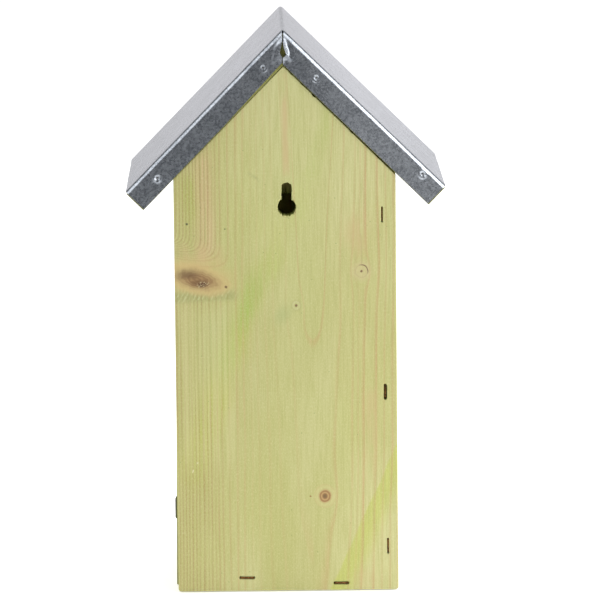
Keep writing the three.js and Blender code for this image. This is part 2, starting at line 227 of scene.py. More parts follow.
def gable_outline():
    """The panels' edge, with the two bottom corners worn round."""
    worn = 1.4 * MM
    points = arc(-HALF_BODY + worn, worn, worn, 180, 270, 5)
    points += arc(HALF_BODY - worn, worn, worn, 270, 360, 5)
    points.append((HALF_BODY, SHOULDER - LEAN * HALF_BODY))
    points.append((0, GABLE_TOP))
    low = SHOULDER + LEAN * HALF_BODY
    for step in range(1, EDGE_STEPS):
        share = step / EDGE_STEPS
        torn = 1.5 * MM * max(0, noise.noise(Vector((step * 0.23, 3, 8))) - 0.12)
        points.append((-HALF_BODY * share, GABLE_TOP + (low - GABLE_TOP) * share - torn))
    points.append((-HALF_BODY, low))
    return points


def ragged(points, amount, seed):
    """Shifts an outline's points a little in and out, as torn fibres do."""
    torn = []
    for x, z in points:
        spot = Vector((x, seed, z)) / (0.55 * MM)
        sideways = amount * noise.noise(spot)
        upwards = 1.6 * amount * noise.noise(spot + Vector((7, 3, 1)))
        torn.append((x + sideways, z + upwards))
    return torn


def keyhole_outline():
    """A round hole for a screw's head and a slot above it for its shank."""
    meet = math.degrees(math.acos(KEYHOLE_SLOT / 2 / KEYHOLE_RADIUS))
    round_part = arc(KEYHOLE_SIDE, KEYHOLE_HEIGHT, KEYHOLE_RADIUS, meet, meet - 360 + 2 * (90 - meet), 60)
    slot_end = arc(KEYHOLE_SIDE, KEYHOLE_HEIGHT + KEYHOLE_RISE, KEYHOLE_SLOT / 2, 180, 0, 20)
    left_side = []
    right_side = []
    low = KEYHOLE_HEIGHT + KEYHOLE_RADIUS * math.sin(math.radians(meet))
    high = KEYHOLE_HEIGHT + KEYHOLE_RISE
    for step in range(1, 12):
        z = low + (high - low) * step / 12
        left_side.append((KEYHOLE_SIDE - KEYHOLE_SLOT / 2, z))
        right_side.append((KEYHOLE_SIDE + KEYHOLE_SLOT / 2, low + high - z))
    return ragged(round_part + left_side + slot_end + right_side, 0.55 * MM, 4)


def entrance_outline():
    """The round hole that the birds use."""
    return ragged(arc(0, ENTRANCE_HEIGHT, ENTRANCE_RADIUS, 0, 357, 119), 0.12 * MM, 9)


def staple_slot(node, width, seed):
    """The slot that a staple's crown has torn into a panel, a little longer than the crown."""
    lowest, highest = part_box(node)
    size = highest - lowest
    centre = middle(node)
    far = max(size.x, size.z) / 2 + 0.3 * MM - width / 2
    turn = 90 if stands(node) else 0
    along = Vector((math.cos(math.radians(turn)), math.sin(math.radians(turn))))
    points = []
    for sign in (1, -1):
        end = Vector((centre.x, centre.z)) + sign * far * along
        start = turn - 90 * sign
        points += arc(end.x, end.y, width / 2, start, start + 180, 8)
    return ragged(points, 0.22 * MM, seed)


# The panels' staples: name, width of the slot each has torn, and how deep its crown went in.
PANEL_STAPLES = (
    ("side_top", 0.95 * MM, 1.1 * MM),
    ("side_middle", 1.75 * MM, 1.9 * MM),
    ("side_bottom", 1.05 * MM, 0.7 * MM),
    ("floor_door_side", 1.6 * MM, 0.35 * MM),
    ("floor_fixed_side", 1.6 * MM, 0.35 * MM),
)


def gable_panel(name, end, hole, seed):
    """The back or the front panel, with its large hole and its staples' slots."""
    outlines = [gable_outline(), hole]
    for number, (place, width, sunk) in enumerate(PANEL_STAPLES):
        outlines.append(staple_slot("staple_%s_%s" % (end, place), width, seed + number))
    return board_from_outlines(name + "_board", outlines, PANEL_THICKNESS, PANEL_EASE, middle(name).y)


def eased_board(node, leaning=False):
    """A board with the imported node's shape and its sharp edges eased."""
    board = show(node + "_board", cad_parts[node].data.copy())
    shape = bmesh.new()
    shape.from_mesh(board.data)
    bmesh.ops.remove_doubles(shape, verts=shape.verts, dist=1e-6)
    bmesh.ops.dissolve_limit(shape, angle_limit=math.radians(1), verts=shape.verts, edges=shape.edges)
    if leaning:
        for corner in shape.verts:
            corner.co = lean(corner.co)
    shape.to_mesh(board.data)
    shape.free()
    bevel = board.modifiers.new("eased", "BEVEL")
    bevel.width = BOARD_EASE
    bevel.segments = 2
    bevel.limit_method = "ANGLE"
    bevel.angle_limit = math.radians(40)
    board = settle(board)
    soft_shading(board.data)
    return board


def keyhole_splinter():
    """A flap of wood that the drill left hanging on the inside, behind the top of the keyhole's slot."""
    shape = bmesh.new()
    columns = 14
    rows = 6
    top = KEYHOLE_HEIGHT + KEYHOLE_RISE + 4.2 * MM
    grid = []
    for row in range(rows + 1):
        down = row / rows
        line = []
        for column in range(columns + 1):
            across = (2 * column / columns - 1) * 4.6 * MM * (1 - 0.25 * down)
            torn = 2.6 * MM * noise.noise(Vector((column * 1.3, 5, 2))) * down
            curl = 2.4 * MM * down ** 1.6 - 0.3 * MM * noise.noise(Vector((column, row * 0.4, 1)))
            place = (KEYHOLE_SIDE + across, BACK[LOW].y - 0.2 * MM - curl, top - down * 8.6 * MM + torn)
            line.append(shape.verts.new(place))
        grid.append(line)
    skin(shape, grid)
    flap = shown_shape(shape, "keyhole_splinter")
    if sum(face.normal.y for face in flap.data.polygons) < 0:
        flap.data.flip_normals()
    return thickened(flap, 0.5 * MM, 60)


# ---- roof sheet


def ridge_line(distance, side):
    """A point of the sheet's outside at a distance down one slope, and the direction into the roof."""
    if distance < RIDGE_RADIUS:
        angle = math.radians(45) * distance / RIDGE_RADIUS
        inward = Vector((-side * math.sin(angle), 0, -math.cos(angle)))
        centre = Vector((0, 0, SHEET_SHARP_TOP - RIDGE_RADIUS * math.sqrt(2)))
        return centre - inward * RIDGE_RADIUS, inward
    fall = distance / math.sqrt(2)
    inward = Vector((-side, 0, -1)).normalized()
    return Vector((side * fall, 0, SHEET_SHARP_TOP - fall)), inward


def tear(depth, side):
    """How far the slit's edge stands from the middle, at a depth measured square to the slope."""
    drop = depth * math.sqrt(2)
    widest = TEAR_DOOR_SIDE if side == DOOR_SIDE else TEAR_FIXED_SIDE
    centre = TEAR_START + 0.45 * (TEAR_END - TEAR_START)
    half = (TEAR_END - TEAR_START) / 2
    share = max(0, 1 - abs(drop - centre) / half)
    slit = SLIT + 0.25 * MM * drop / TEAR_START if drop < TEAR_START else SLIT
    return slit + (widest - slit) * share ** 0.8


def fold_points():
    """The fold's outside, from the flange up: how far in from the sheet's end, and how far up."""
    points = [(0.0, 0.0)]
    heading = 0.0
    for turn, length in FOLD_TURNS:
        for step in range(4):
            heading += math.radians(turn / 8)
            inward, climb = points[-1]
            points.append((inward + length / 4 * math.sin(heading), climb + length / 4 * math.cos(heading)))
            heading += math.radians(turn / 8)
    return points


FOLD = fold_points()
FOLD_REACH, FOLD_DEPTH = FOLD[-1]


FLANGE_ROWS = 18
TOP_ROWS = 48
BEND_COLUMNS = 6
SLOPE_COLUMNS = 128


def sheet_rows():
    """Across the sheet: where each row lies along the ridge and how deep it has folded down."""
    edge = SHEET[HIGH].y
    flat = edge - FOLD_REACH
    rows = []
    for step in range(FLANGE_ROWS):
        rows.append((-edge, FLANGE - (FLANGE - FOLD_DEPTH) * step / FLANGE_ROWS))
    for inward, climb in FOLD:
        rows.append((inward - edge, FOLD_DEPTH - climb))
    folded = list(rows)
    for step in range(1, TOP_ROWS):
        rows.append((-flat + 2 * flat * step / TOP_ROWS, 0))
    for y, depth in reversed(folded):
        rows.append((-y, depth))
    return rows


def trimmed(depth, distance, side):
    """The flange was cut a little short near the ridge on the door side, so the board shows below it."""
    if depth <= FOLD_DEPTH:
        return depth
    missing = -0.6 * MM
    if side == DOOR_SIDE:
        missing += 1.5 * MM * max(0, 1 - distance / (60 * MM))
    return FOLD_DEPTH + (depth - FOLD_DEPTH) * (1 - missing / (FLANGE - FOLD_DEPTH))


def dimple(distance, radius, depth):
    """A nail's dent: sunk in the middle, with a low rim thrown up round it."""
    share = distance / radius
    if share > 2.4:
        return 0
    return -depth * math.exp(-2.2 * share * share) + 0.6 * depth * math.exp(-6 * (share - 1.15) ** 2)


def smooth(share):
    """0 to 1, level at both ends."""
    share = min(1, max(0, share))
    return share * share * (3 - 2 * share)


def buckled_corner(depth, from_edge, side):
    """By the ridge the knocked-down corners stand out from the board, steep above and flat below."""
    reach, swell = (7.0 * MM, 1.8 * MM) if side == DOOR_SIDE else (4.0 * MM, 1.3 * MM)
    near = max(0, 1 - from_edge / reach) ** 0.6
    below = max(0, 1 - max(0, depth - 4.8 * MM) / (9 * MM))
    return swell * near * smooth((depth - 1.7 * MM) / (2.9 * MM)) * below


def curled_lip(point, from_edge):
    """The fixed side's torn edge by the slit, bent out in a crescent."""
    drop = SHEET_SHARP_TOP - point.z
    along = max(0, 1 - abs(drop - 11.2 * MM) / (6.4 * MM)) ** 0.5
    return 1.6 * MM * max(0, along - from_edge / (3.1 * MM))


def hammer_marks(point, depth):
    """Dents left near the ridge, and one flat blow beside the slit."""
    near = max(0, 1 - (GABLE_TOP + 19 * MM - point.z) / (30 * MM))
    fine = noise.noise(point / (3.2 * MM))
    beside = ((point.x + 5.2 * MM) / (1.5 * MM)) ** 2
    blow = math.exp(-beside - ((SHEET_SHARP_TOP - 13.4 * MM - point.z) / (3.0 * MM)) ** 2)
    return 0.28 * MM * near * min(1, depth / (3 * MM)) * fine + 0.6 * MM * blow


def lift(y):
    """How far the sheet stands off its boards at a place along the ridge."""
    return LIFT_BACK + (LIFT_FRONT - LIFT_BACK) * (0.5 - y / (2 * SHEET[HIGH].y))


def flange_push(point, depth, distance, from_edge, side, brads):
    """How far the flange stands out at a point: dents, buckles and slight waves."""
    push = hammer_marks(point, depth) + buckled_corner(depth, from_edge, side)
    for brad in brads:
        if brad.y * point.y > 0:
            push += dimple(math.hypot(point.x - brad.x, point.z - brad.z), 1.6 * MM, 0.85 * MM)
    if side == FIXED_SIDE and point.y > 0:
        push += curled_lip(point, from_edge)
    wave = 0.12 * MM * noise.noise(Vector((distance, 0, 3 * side)) / (17 * MM))
    return push + wave * min(1, depth / (2 * MM))


def sheet_point(y, depth, share, side, brads):
    """A point of the sheet's outside, by its share of the way from the slit to the eave."""
    start = 0 if depth == 0 else depth + tear(depth, side) * math.sqrt(2)
    distance = start + (SHEET_SLOPE - start) * share
    on_top, inward = ridge_line(distance, side)
    point = on_top + inward * trimmed(depth, distance, side)
    point.y = y
    point.z += lift(y)
    if depth > 0:
        outward = 1 if y > 0 else -1
        point.y += outward * flange_push(point, depth, distance, distance - start, side, brads)
    else:
        wave = noise.noise(Vector((distance / 2, y, 5 * side * MM)) / (30 * MM))
        point -= inward * 0.16 * MM * wave * min(1, distance / (20 * MM))
    return lean(point)


def roof_sheet(material):
    """The sheet as a fine grid, with its folds, slit, dents and slight waves."""
    brads = [middle(node) for end in ("back", "front") for node in brad_nodes(end)]
    bend = RIDGE_RADIUS / SHEET_SLOPE
    columns = [bend * step / BEND_COLUMNS for step in range(BEND_COLUMNS)]
    columns += [bend + (1 - bend) * step / SLOPE_COLUMNS for step in range(SLOPE_COLUMNS + 1)]
    shape = bmesh.new()
    for side in (DOOR_SIDE, FIXED_SIDE):
        grid = []
        for y, depth in sheet_rows():
            grid.append([shape.verts.new(sheet_point(y, depth, share, side, brads)) for share in columns])
        skin(shape, grid if side == DOOR_SIDE else grid[::-1])
    bmesh.ops.remove_doubles(shape, verts=shape.verts, dist=2e-6)
    sheet = shown_shape(shape, "roof_sheet_folded")
    if sum(face.normal.z * face.area for face in sheet.data.polygons) < 0:
        sheet.data.flip_normals()
    return fit(thickened(sheet, SHEET_THICKNESS, 50), "box", "roof_steel", material, "roof_sheet")


# ---- wire and nails by rule


def tree_with_inputs(name, **sizes):
    """An empty Geometry Nodes tree whose sizes are named inputs."""
    tree = bpy.data.node_groups.new(name, "GeometryNodeTree")
    sockets = tree.interface
    sockets.new_socket("Geometry", in_out="INPUT", socket_type="NodeSocketGeometry")
    for label, value in sizes.items():
        sockets.new_socket(label, in_out="INPUT", socket_type="NodeSocketFloat").default_value = value
    sockets.new_socket("Material", in_out="INPUT", socket_type="NodeSocketMaterial")
    sockets.new_socket("Geometry", in_out="OUTPUT", socket_type="NodeSocketGeometry")
    return tree


def sum_rule(operation, swapped=False):
    """What a sign between a value and something else makes: a node that does the sum."""

    def rule(value, other):
        return value.wiring.math(operation, *((other, value) if swapped else (value, other)))

    return rule


class Value:
    """What one node's output gives, usable in plain sums."""

    __add__ = sum_rule("ADD")
    __radd__ = sum_rule("ADD", swapped=True)
    __sub__ = sum_rule("SUBTRACT")
    __rsub__ = sum_rule("SUBTRACT", swapped=True)
    __mul__ = sum_rule("MULTIPLY")
    __rmul__ = sum_rule("MULTIPLY", swapped=True)
    __truediv__ = sum_rule("DIVIDE")
    __rtruediv__ = sum_rule("DIVIDE", swapped=True)

    def __init__(self, wiring, socket):
        self.wiring = wiring
        self.socket = socket


class Wiring:
    """Adds nodes to a tree and joins them."""

    def __init__(self, tree):
        self.tree = tree
        self.start = tree.nodes.new("NodeGroupInput")
        self.end = tree.nodes.new("NodeGroupOutput")

    def node(self, kind, inputs=None, **settings):
        """A new node whose inputs are plain numbers or the values of other nodes."""
        node = self.tree.nodes.new(kind)
        for key, value in settings.items():
            setattr(node, key, value)
        for key, value in (inputs or {}).items():
            if isinstance(value, Value):
                self.tree.links.new(value.socket, node.inputs[key])
            else:
                node.inputs[key].default_value = value
        return node

    def result(self, kind, inputs=None, output=0, **settings):
        """What a new node gives at one of its outputs."""
        return Value(self, self.node(kind, inputs, **settings).outputs[output])

    def size(self, label):
        return Value(self, self.start.outputs[label])

    def math(self, operation, *values):
        return self.result("ShaderNodeMath", dict(enumerate(values)), operation=operation)

    def at_height(self, z):
        return self.result("ShaderNodeCombineXYZ", {"Z": z})

    def finish(self, shape):
        """Instances the shape at every point of the carrier, turned as the carrier says."""
        turn = self.result("GeometryNodeInputNamedAttribute", {"Name": "turn"}, data_type="FLOAT_VECTOR")
        places = {"Points": self.size("Geometry"), "Instance": shape, "Rotation": turn}
        copies = self.result("GeometryNodeInstanceOnPoints", places)
        real = self.result("GeometryNodeRealizeInstances", {"Geometry": copies})
        paint = {"Geometry": real, "Material": self.size("Material")}
        painted = self.result("GeometryNodeSetMaterial", paint)
        self.tree.links.new(painted.socket, self.end.inputs[0])


def staple_tree():
    """Flat wire bent to a crown with two legs, the crown along X and the legs going down -Z."""
    tree = tree_with_inputs(
        "staple_wire", Crown=8 * MM, Leg=24 * MM, Width=0.9 * MM, Thickness=0.7 * MM, Corner=0.7 * MM
    )
    wiring = Wiring(tree)
    line = wiring.result("GeometryNodeCurvePrimitiveLine")
    bends = wiring.result("GeometryNodeResampleCurve", {"Curve": line, "Count": 4})
    order = wiring.result("GeometryNodeInputIndex") - 1.5
    side = wiring.math("SIGN", order)
    half = (wiring.size("Crown") - wiring.size("Width")) * 0.5
    is_leg = wiring.math("GREATER_THAN", wiring.math("ABSOLUTE", order), 1.0)
    down = is_leg * wiring.size("Leg") * -1.0
    middle_of_wire = wiring.size("Thickness") * -0.5
    place = wiring.result("ShaderNodeCombineXYZ", {"X": side * half, "Z": down + middle_of_wire})
    bent = wiring.result("GeometryNodeSetPosition", {"Geometry": bends, "Position": place})
    corners = {"Curve": bent, "Radius": wiring.size("Corner"), "Count": 4}
    rounded = wiring.result("GeometryNodeFilletCurve", corners, mode="POLY")
    flat = {"Width": wiring.size("Thickness"), "Height": wiring.size("Width")}
    section = wiring.result("GeometryNodeCurvePrimitiveQuadrilateral", flat)
    sweep = {"Curve": rounded, "Profile Curve": section, "Fill Caps": True}
    wiring.finish(wiring.result("GeometryNodeCurveToMesh", sweep))
    return tree


def round_rod(wiring, ends, count, radius):
    """A rod of the given number of rings between two heights, with a radius at each ring."""
    line = wiring.result("GeometryNodeCurvePrimitiveLine", ends)
    rings = wiring.result("GeometryNodeResampleCurve", {"Curve": line, "Count": count})
    circle = wiring.result("GeometryNodeCurvePrimitiveCircle", {"Resolution": 20, "Radius": 1.0})
    sweep = {"Curve": rings, "Profile Curve": circle, "Scale": radius, "Fill Caps": True}
    return wiring.result("GeometryNodeCurveToMesh", sweep)


def nail_tree():
    """A nail with a low domed head at the top and its shank going down -Z."""
    tree = tree_with_inputs("nail", Head=2 * MM, Dome=0.4 * MM, Shank=1.2 * MM, Length=16 * MM)
    wiring = Wiring(tree)
    share = wiring.result("GeometryNodeSplineParameter", output="Factor")
    rounding = wiring.math("SQRT", 1.02 - wiring.math("POWER", share, 3.0))
    dome = {"End": wiring.at_height(wiring.size("Dome"))}
    head = round_rod(wiring, dome, 7, wiring.size("Head") * 0.5 * rounding)
    top = wiring.at_height(wiring.size("Dome") * 0.4)
    tip = wiring.at_height(wiring.size("Length") * -1.0)
    point = wiring.math("MINIMUM", 1.0, (1.02 - share) * 9.0)
    shank = round_rod(wiring, {"Start": top, "End": tip}, 12, wiring.size("Shank") * 0.5 * point)
    both = wiring.node("GeometryNodeJoinGeometry")
    tree.links.new(head.socket, both.inputs[0])
    tree.links.new(shank.socket, both.inputs[0])
    wiring.finish(Value(wiring, both.outputs[0]))
    return tree


def grow(name, tree, places, slot, material, **sizes):
    """Runs a tree at its nodes' places, keeps the plain mesh that comes out and fits it to the box."""
    mesh = bpy.data.meshes.new(name)
    mesh.from_pydata([point for point, turn in places.values()], [], [])
    turns = mesh.attributes.new("turn", "FLOAT_VECTOR", "POINT")
    for item, (point, turn) in zip(turns.data, places.values()):
        item.vector = turn
    carrier = show(name, mesh)
    modifier = carrier.modifiers.new(name, "NODES")
    modifier.node_group = tree
    for item in tree.interface.items_tree:
        if item.in_out == "INPUT" and item.name in sizes:
            modifier[item.identifier] = sizes[item.name]
        if item.name == "Material":
            modifier[item.identifier] = material
    piece = settle(carrier)
    clean(piece.data, gap=1e-7)
    soft_shading(piece.data, 40)
    return fit(piece, "box", slot, material, *places)


def facing(outward, upright=False):
    """The turn that points a tree's Z along Y, outwards, and its X along the world's X or Z."""
    z_axis = Vector((0, outward, 0))
    x_axis = Vector((0, 0, 1)) if upright else Vector((1, 0, 0))
    return Matrix((x_axis, z_axis.cross(x_axis), z_axis)).transposed().to_euler()


def panel_staples(end, outward):
    """The five staples of one gable panel, each as deep as it was shot."""
    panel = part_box(end + "_panel")
    places = {}
    for place, width, sunk in PANEL_STAPLES:
        node = "staple_%s_%s" % (end, place)
        centre = middle(node)
        centre.y = panel[HIGH].y - sunk if outward > 0 else panel[LOW].y + sunk
        places[node] = (centre, facing(outward, stands(node)))
    return places


def brad_nodes(end):
    """The four brads through one flange."""
    return ["brad_%s_%s" % (end, place) for place in BRAD_PLACES]


def brads(end, outward):
    """Each brad sunk in its dimple."""
    places = {}
    for node in brad_nodes(end):
        centre = middle(node)
        centre.y = outward * (SHEET[HIGH].y - 0.8 * MM)
        places[node] = (lean(centre), facing(outward))
    return places


def pivot_pins():
    """The two pins that the door hangs on, their heads flush with the panels."""
    places = {}
    for end, outward in ENDS:
        node = "pivot_pin_" + end
        lowest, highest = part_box(node)
        centre = middle(node)
        centre.y = (highest.y if outward > 0 else lowest.y) - outward * 0.6 * MM
        places[node] = (centre, facing(outward))
    return places


def swept_wire(name, path, radii, sides=18):
    """A round wire along a path, its ends closed, with a radius for each point."""
    shape = bmesh.new()
    across = Vector((0, 1, 0))
    rings = []
    for number, (point, radius) in enumerate(zip(path, radii)):
        before = path[max(0, number - 1)]
        after = path[min(len(path) - 1, number + 1)]
        up = (after - before).cross(across).normalized()
        ring = []
        for step in range(sides):
            angle = 2 * math.pi * step / sides
            ring.append(shape.verts.new(point + radius * (math.cos(angle) * across + math.sin(angle) * up)))
        rings.append(ring)
    skin(shape, rings, closed=True)
    shape.faces.new(rings[0])
    shape.faces.new(rings[-1])
    wire = shown_shape(shape, name)
    soft_shading(wire.data, 50)
    return wire


def latch_hook(material):
    """A screw hook: a threaded shank in the panel's edge, a bend, and an arm hanging down."""
    lowest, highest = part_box("latch_hook")
    y = middle("latch_hook").y
    wire = (highest.y - lowest.y) / 2
    shank_z = highest.z - wire
    arm_x = highest.x - wire
    path = []
    radii = []

    def reach(x, z, radius):
        path.append(Vector((x, y, z)))
        radii.append(radius)

    threads = 11
    steps = 12 * threads
    threaded = HALF_BODY - 1.5 * MM - lowest.x
    for step in range(steps + 1):
        share = step / steps
        taper = min(1, 0.25 + share * 5)   # the screw's point
        groove = 0.78 + 0.22 * (0.5 + 0.5 * math.cos(2 * math.pi * threads * share))
        reach(lowest.x + threaded * share, shank_z, wire * taper * groove)
    bend = 2.2 * MM
    for clear in (-1.2 * MM, 0.35 * MM, 0.4 * MM):
        if HALF_BODY + clear < arm_x - bend:
            reach(HALF_BODY + clear, shank_z, wire)
    bend = min(bend, arm_x - path[-1].x - 0.05 * MM)
    corner_z = shank_z - bend
    for x, z in arc(arm_x - bend, corner_z, bend, 90, 0, 8):
        reach(x, z, wire)
    for share in (0.3, 0.6, 0.85):
        reach(arm_x, corner_z + (lowest.z - corner_z) * share, wire)
    for step in range(1, 7):
        angle = math.radians(90 * step / 6)
        reach(arm_x, lowest.z + wire - wire * math.sin(angle), max(0.02 * MM, wire * math.cos(angle)))
    return fit(swept_wire("latch_hook_wire", path, radii), "latch", "bright_wire", material, "latch_hook")


# ---- paint


def shade(tone):
    """A colour from its screen values, 0 to 255, as the linear colour that a shader takes."""
    linear = []
    for value in tone:
        value /= 255
        linear.append(value / 12.92 if value <= 0.04045 else ((value + 0.055) / 1.055) ** 2.4)
    return (*linear, 1)


class Paint(Wiring):
    """A material drawn in the piece's own millimetres, one colour laid over another."""

    def __init__(self, name):
        self.material = bpy.data.materials.new(name)
        self.material.use_nodes = True
        self.tree = self.material.node_tree
        self.tree.nodes.clear()
        place = self.result("ShaderNodeTexCoord", output="Object")
        self.place = self.result("ShaderNodeVectorMath", {0: place, "Scale": 1 / MM}, operation="SCALE")
        apart = self.node("ShaderNodeSeparateXYZ", {0: self.place})
        self.x, self.y, self.z = [Value(self, output) for output in apart.outputs]

    def root(self, value):
        return self.math("SQRT", self.largest(value, 0.0))

    def largest(self, one, two):
        return self.math("MAXIMUM", one, two)

    def length(self, one, two):
        return self.root(one * one + two * two)

    def fade(self, value, start, end, low=0.0, high=1.0):
        """Goes smoothly from low to high as the value goes from start to end."""
        limits = dict(enumerate((value, start, end, low, high)))
        return self.result("ShaderNodeMapRange", limits, interpolation_type="SMOOTHSTEP")

    def fall(self, value, start, end, high=1.0):
        """Goes smoothly down to nought as the value goes from start to end."""
        return self.fade(value, start, end, high, 0.0)

    def between(self, value, start, full, still_full, end):
        """Rises smoothly to 1, stays there and falls to nought again."""
        return self.fade(value, start, full) * self.fall(value, still_full, end)

    def mix(self, share, one, two):
        """Goes from one tone to another, each given by its screen values or mixed before."""
        one, two = [tone if isinstance(tone, Value) else shade(tone) for tone in (one, two)]
        return self.result("ShaderNodeMix", {0: share, 6: one, 7: two}, 2, data_type="RGBA")

    def lay(self, share, tone):
        """Paints a tone over what is there, by a share from 0 to 1."""
        self.colour = self.mix(share, self.colour, tone)

    def spot(self, x, y, z, seed=0.0):
        """The place, squeezed along each axis, and shifted by a seed."""
        shift = (seed * 17.3, seed * 5.1, seed * 11.7)
        return self.result("ShaderNodeMapping", {"Vector": self.place, "Scale": (x, y, z), "Location": shift})

    def noise(self, spot, detail=2.0, rough=0.5):
        """Cloudy noise, about 0.5, one cloud to a unit of the spot."""
        looks = {"Vector": self.spot(*spot), "Scale": 1.0, "Detail": detail, "Roughness": rough}
        return self.result("ShaderNodeTexNoise", looks)

    def wander(self, spot, size, detail=1.0):
        """Noise about nought, as far as size either way."""
        return (self.noise(spot, detail) - 0.5) * (2.0 * size)

    def cloud(self, spot, detail, start, end, low=0.0, high=1.0):
        """Noise sharpened into patches that go from low to high."""
        return self.fade(self.noise(spot, detail), start, end, low, high)

    def cells(self, spot, output="Distance"):
        return self.result("ShaderNodeTexVoronoi", {"Vector": self.spot(*spot), "Scale": 1.0}, output)

    def profile(self, value, low, high, points):
        """A height from 0 to 1 drawn through points, each a place and a height, in order."""
        node = self.node("ShaderNodeFloatCurve", {"Value": (value - low) / (high - low)})
        curve = node.mapping.curves[0]
        curve.points[0].location = (0, points[0][1])
        curve.points[1].location = (1, points[-1][1])
        for place, height in points[1:-1]:
            curve.points.new((place - low) / (high - low), height)
        for point in curve.points:
            point.handle_type = "VECTOR"
        node.mapping.update()
        return Value(self, node.outputs[0])

    def band(self, start, end, half_width, soft, x=None):
        """A soft-edged stroke from one place to another on a face that stands in XZ."""
        reach = math.dist(start, end)
        along_x = (end[0] - start[0]) / reach
        along_z = (end[1] - start[1]) / reach
        from_x = (x or self.x) - start[0]
        from_z = self.z - start[1]
        along = from_x * along_x + from_z * along_z
        across = self.math("ABSOLUTE", from_x * along_z - from_z * along_x)
        inside = self.fall(across, half_width - soft / 2, half_width + soft / 2)
        return inside * self.between(along, -soft, soft, reach - soft, reach + soft)

    def brush(self, start, end, half_width, soft, strength, tone, patches=1.0, x=None):
        """Lays a soft stroke of a tone, broken up by patches."""
        self.lay(self.band(start, end, half_width, soft, x) * strength * patches, tone)

    def bump(self, height, strength, depth, under=None):
        """Relief whose full height is given in millimetres."""
        inputs = {"Strength": strength, "Distance": depth * MM, "Height": height}
        if under is not None:
            inputs["Normal"] = under
        return self.result("ShaderNodeBump", inputs)

    def surface(self, roughness, normal=None, metallic=0.0, specular=0.5, glow=0.0):
        inputs = {"Base Color": self.colour, "Roughness": roughness, "Metallic": metallic}
        inputs["Specular IOR Level"] = specular
        inputs["Emission Color"] = shade((255, 255, 255))
        inputs["Emission Strength"] = glow
        if normal is not None:
            inputs["Normal"] = normal
        self.node("ShaderNodeOutputMaterial", {"Surface": self.result("ShaderNodeBsdfPrincipled", inputs)})
        return self.material


# ---- the back panel's pine

CENTRE_LINE = -14.6                        # the growth rings' middle, where their lines make a narrow arch
RING_HEIGHT = 215.0                        # the height that the ring lines are measured at
RING_TAPER = 1.15
LAST_RING = 80.0
# Dark lines of late wood: how far from the centre line, how dark, and over what width they darken.
DOOR_SIDE_LINES = (
    (9.2, 0.55, 0.6), (15.0, 0.22, 1.5), (21.6, 0.2, 1.5), (25.6, 0.25, 1.5), (29.8, 0.25, 1.5),
    (33.2, 0.2, 1.2), (37.4, 0.5, 1.6), (41.2, 0.62, 2.0), (45.3, 0.55, 1.6), (49.3, 0.7, 1.5),
    (51.6, 0.7, 1.3), (53.4, 0.5, 1.0), (55.4, 0.85, 1.2), (57.2, 0.6, 1.1), (59.6, 0.95, 1.8),
    (61.9, 0.7, 1.2), (63.7, 0.75, 1.1), (65.8, 0.8, 1.2), (67.6, 0.7, 1.1), (69.4, 0.75, 1.1),
    (71.3, 0.7, 1.1), (73.2, 0.75, 1.1),
)
FIXED_SIDE_LINES = (
    (9.2, 0.7, 0.6), (16.7, 0.6, 1.6), (23.6, 0.5, 1.5), (26.3, 0.35, 1.2), (29.1, 0.9, 2.0),
    (35.1, 0.85, 2.2), (39.3, 0.55, 1.5), (43.6, 0.7, 1.6), (47.5, 0.6, 1.5),
)
KNOTS = {
    "big": (47.8, 171.6, 13.2, 5.8, 13.0),
    "small": (-5.7, 156.9, 2.0, 2.1, 0.0),
    "cracked": (-41.2, 175.3, 3.5, 3.4, 0.0),
    "lower": (-20.4, 52.0, 3.6, 3.9, 0.0),
}


def line_profile(paint, value, lines):
    """Late wood darkens slowly and ends at a sharp edge."""
    points = [(0.0, 0.0)]
    for place, dark, width in lines:
        start = max(place - 0.75 * width, points[-1][0] + 0.05)
        points += [(start, 0.0), (place - 0.25, dark * 0.75), (place, dark), (place + 0.35, 0.0)]
    points.append((LAST_RING, 0.0))
    return paint.profile(value, 0.0, LAST_RING, points)


def knot_distance(paint, name, ragged_by):
    """1 on a knot's edge, less inside it: an ellipse with a slightly wandering outline."""
    x, z, half_x, half_z, tilt = KNOTS[name]
    turn = math.radians(tilt)
    from_x = paint.x - x
    from_z = paint.z - z
    along = from_x * math.cos(turn) + from_z * math.sin(turn)
    across = from_z * math.cos(turn) - from_x * math.sin(turn)
    plain = paint.length(along / half_x, across / half_z)
    shaken = paint.wander((0.35, 0.35, 0.35, x), ragged_by, 3.0)
    return plain + shaken


def flow_past(paint, x, name, width, stretch):
    """Ring lines part round a knot as water parts round a stone."""
    knot_x, knot_z = KNOTS[name][:2]
    from_x = x - knot_x
    from_z = (paint.z - knot_z) * stretch
    square = from_x * from_x + from_z * from_z
    share = width * width / paint.largest(square, width * width)
    return x - from_x * share * 0.92


def swept_above_big_knot(paint, x):
    """Over the big knot the lines swing out towards the board's edge."""
    lower = paint.z - (paint.x - 44.0) * 0.3
    pull = paint.math("POWER", paint.fade(lower, 198.0, 177.0), 3.0)
    pull = pull * paint.fade(paint.z, 170.0, 176.0)
    reach = paint.largest(x - 27.5, 0.0)
    return x - reach * (pull * 0.82)


